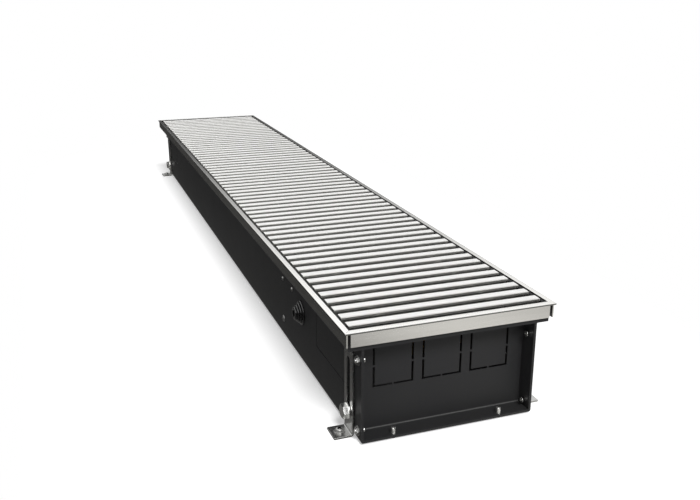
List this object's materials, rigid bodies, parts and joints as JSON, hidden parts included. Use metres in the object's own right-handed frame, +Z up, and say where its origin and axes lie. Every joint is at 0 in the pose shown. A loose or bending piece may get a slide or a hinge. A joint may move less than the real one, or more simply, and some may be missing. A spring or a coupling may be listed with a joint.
{
  "type": "trench convector heater",
  "caption": "Long floor trough heater: black steel tray with a flush roll-up aluminium grille, finned heat exchanger, cross-flow fan, adjustable feet and a cable grommet.",
  "frame": {"origin": "on the floor, under the middle of the trough", "axes": "+X along the trough to its coupling end, +Y across it to the right, +Z up"},
  "size_m": [1.242, 0.2222, 0.118],
  "materials": {
    "black_steel": "matt black powder coat",
    "frame_aluminium": "natural satin anodised",
    "grille_aluminium": "natural satin anodised",
    "zinc_steel": "zinc plated sheet",
    "bright_steel": "bright zinc plated",
    "fin_aluminium": "mill finish",
    "copper": "drawn copper tube",
    "brass": "machined brass",
    "black_rubber": "moulded rubber",
    "sleeve_plastic": "black sleeve",
    "fan_plastic": "moulded plastic",
    "bush_rubber": "moulded rubber",
    "motor_paint": "black enamel",
    "box_plastic": "moulded plastic",
    "terminal_plastic": "white moulded plastic"
  },
  "bodies": {
    "casing": {"tray": "black_steel", "near_end_plate": "black_steel", "far_end_plate": "black_steel", "damping_strips": "black_rubber", "frame_left": "frame_aluminium", "frame_right": "frame_aluminium", "frame_near_end": "frame_aluminium", "frame_far_end": "frame_aluminium", "frame_corner_keys": "zinc_steel", "bracket_bolts": "bright_steel", "bracket_washers": "bright_steel", "bracket_nuts": "bright_steel", "coupling_screws": "bright_steel", "coupling_washers": "bright_steel", "coupling_nuts": "bright_steel", "exchanger_fins": "fin_aluminium", "exchanger_tubes": "copper", "return_bends": "copper", "supply_manifold": "brass", "return_manifold": "brass", "exchanger_brackets": "zinc_steel", "fan_motor": "motor_paint", "fan_bearing_bush": "bush_rubber", "fan_housing": "zinc_steel", "fan_end_plates": "zinc_steel", "terminal_box": "box_plastic", "terminal_box_lid": "box_plastic", "lid_screws": "bright_steel", "terminal_block": "terminal_plastic", "motor_cable": "black_rubber", "cable_grommet": "black_rubber", "box_screws": "bright_steel"},
    "grille": {"grille_slats": "grille_aluminium", "grille_spacers": "sleeve_plastic", "grille_springs": "bright_steel"},
    "roll_slat_8": {"roll_slat_8": "grille_aluminium"},
    "roll_slat_7": {"roll_slat_7": "grille_aluminium"},
    "roll_slat_6": {"roll_slat_6": "grille_aluminium"},
    "roll_slat_5": {"roll_slat_5": "grille_aluminium"},
    "roll_slat_4": {"roll_slat_4": "grille_aluminium"},
    "roll_slat_3": {"roll_slat_3": "grille_aluminium"},
    "roll_slat_2": {"roll_slat_2": "grille_aluminium"},
    "roll_slat_1": {"roll_slat_1": "grille_aluminium"},
    "foot_near_left": {"foot_bracket_near_left": "zinc_steel", "floor_screw_near_left": "bright_steel"},
    "foot_near_right": {"foot_bracket_near_right": "zinc_steel", "floor_screw_near_right": "bright_steel"},
    "foot_far_left": {"foot_bracket_far_left": "zinc_steel", "floor_screw_far_left": "bright_steel"},
    "foot_far_right": {"foot_bracket_far_right": "zinc_steel", "floor_screw_far_right": "bright_steel"},
    "levelling_screw_near_left": {"levelling_screw_near_left": "bright_steel"},
    "levelling_screw_near_right": {"levelling_screw_near_right": "bright_steel"},
    "levelling_screw_far_left": {"levelling_screw_far_left": "bright_steel"},
    "levelling_screw_far_right": {"levelling_screw_far_right": "bright_steel"},
    "fan_rotor": {"fan_impeller": "fan_plastic", "fan_shaft": "bright_steel"},
    "air_vent_screw": {"air_vent_screw": "brass"}
  },
  "joints": [
    {"name": "grille_lift", "type": "slide", "parent": "casing", "child": "grille", "axis": [0, 0, 1], "range_m": [0, 0.12]},
    {"name": "roll_8", "type": "hinge", "parent": "grille", "child": "roll_slat_8", "pos_m": [0.4456, 0, 0.10965], "axis": [0, -1, 0], "range_deg": [0, 25]},
    {"name": "roll_7", "type": "hinge", "parent": "roll_slat_8", "child": "roll_slat_7", "pos_m": [0.4656, 0, 0.10965], "axis": [0, -1, 0], "range_deg": [0, 25]},
    {"name": "roll_6", "type": "hinge", "parent": "roll_slat_7", "child": "roll_slat_6", "pos_m": [0.4856, 0, 0.10965], "axis": [0, -1, 0], "range_deg": [0, 25]},
    {"name": "roll_5", "type": "hinge", "parent": "roll_slat_6", "child": "roll_slat_5", "pos_m": [0.5056, 0, 0.10965], "axis": [0, -1, 0], "range_deg": [0, 25]},
    {"name": "roll_4", "type": "hinge", "parent": "roll_slat_5", "child": "roll_slat_4", "pos_m": [0.5256, 0, 0.10965], "axis": [0, -1, 0], "range_deg": [0, 25]},
    {"name": "roll_3", "type": "hinge", "parent": "roll_slat_4", "child": "roll_slat_3", "pos_m": [0.5456, 0, 0.10965], "axis": [0, -1, 0], "range_deg": [0, 25]},
    {"name": "roll_2", "type": "hinge", "parent": "roll_slat_3", "child": "roll_slat_2", "pos_m": [0.5656, 0, 0.10965], "axis": [0, -1, 0], "range_deg": [0, 25]},
    {"name": "roll_1", "type": "hinge", "parent": "roll_slat_2", "child": "roll_slat_1", "pos_m": [0.5856, 0, 0.10965], "axis": [0, -1, 0], "range_deg": [0, 25]},
    {"name": "foot_slide_near_left", "type": "slide", "parent": "casing", "child": "foot_near_left", "axis": [0, 0, -1], "range_m": [0, 0.052]},
    {"name": "foot_slide_near_right", "type": "slide", "parent": "casing", "child": "foot_near_right", "axis": [0, 0, -1], "range_m": [0, 0.052]},
    {"name": "foot_slide_far_left", "type": "slide", "parent": "casing", "child": "foot_far_left", "axis": [0, 0, -1], "range_m": [0, 0.052]},
    {"name": "foot_slide_far_right", "type": "slide", "parent": "casing", "child": "foot_far_right", "axis": [0, 0, -1], "range_m": [0, 0.052]},
    {"name": "levelling_near_left", "type": "slide", "parent": "casing", "child": "levelling_screw_near_left", "axis": [0, 0, 1], "range_m": [-0.007, 0.002]},
    {"name": "levelling_near_right", "type": "slide", "parent": "casing", "child": "levelling_screw_near_right", "axis": [0, 0, 1], "range_m": [-0.007, 0.002]},
    {"name": "levelling_far_left", "type": "slide", "parent": "casing", "child": "levelling_screw_far_left", "axis": [0, 0, 1], "range_m": [-0.007, 0.002]},
    {"name": "levelling_far_right", "type": "slide", "parent": "casing", "child": "levelling_screw_far_right", "axis": [0, 0, 1], "range_m": [-0.007, 0.002]},
    {"name": "fan_spin", "type": "hinge", "parent": "casing", "child": "fan_rotor", "pos_m": [0, -0.0535, 0.0362], "axis": [1, 0, 0], "continuous": true},
    {"name": "vent_turn", "type": "hinge", "parent": "casing", "child": "air_vent_screw", "pos_m": [0.4705, 0.0655, 0.064], "axis": [0, 0, 1], "range_deg": [0, 360]}
  ],
  "couplings": [
    {"joint": "roll_7", "follows": "roll_8", "ratio": 1},
    {"joint": "roll_6", "follows": "roll_8", "ratio": 1},
    {"joint": "roll_5", "follows": "roll_8", "ratio": 1},
    {"joint": "roll_4", "follows": "roll_8", "ratio": 1},
    {"joint": "roll_3", "follows": "roll_8", "ratio": 1},
    {"joint": "roll_2", "follows": "roll_8", "ratio": 1},
    {"joint": "roll_1", "follows": "roll_8", "ratio": 1}
  ]
}
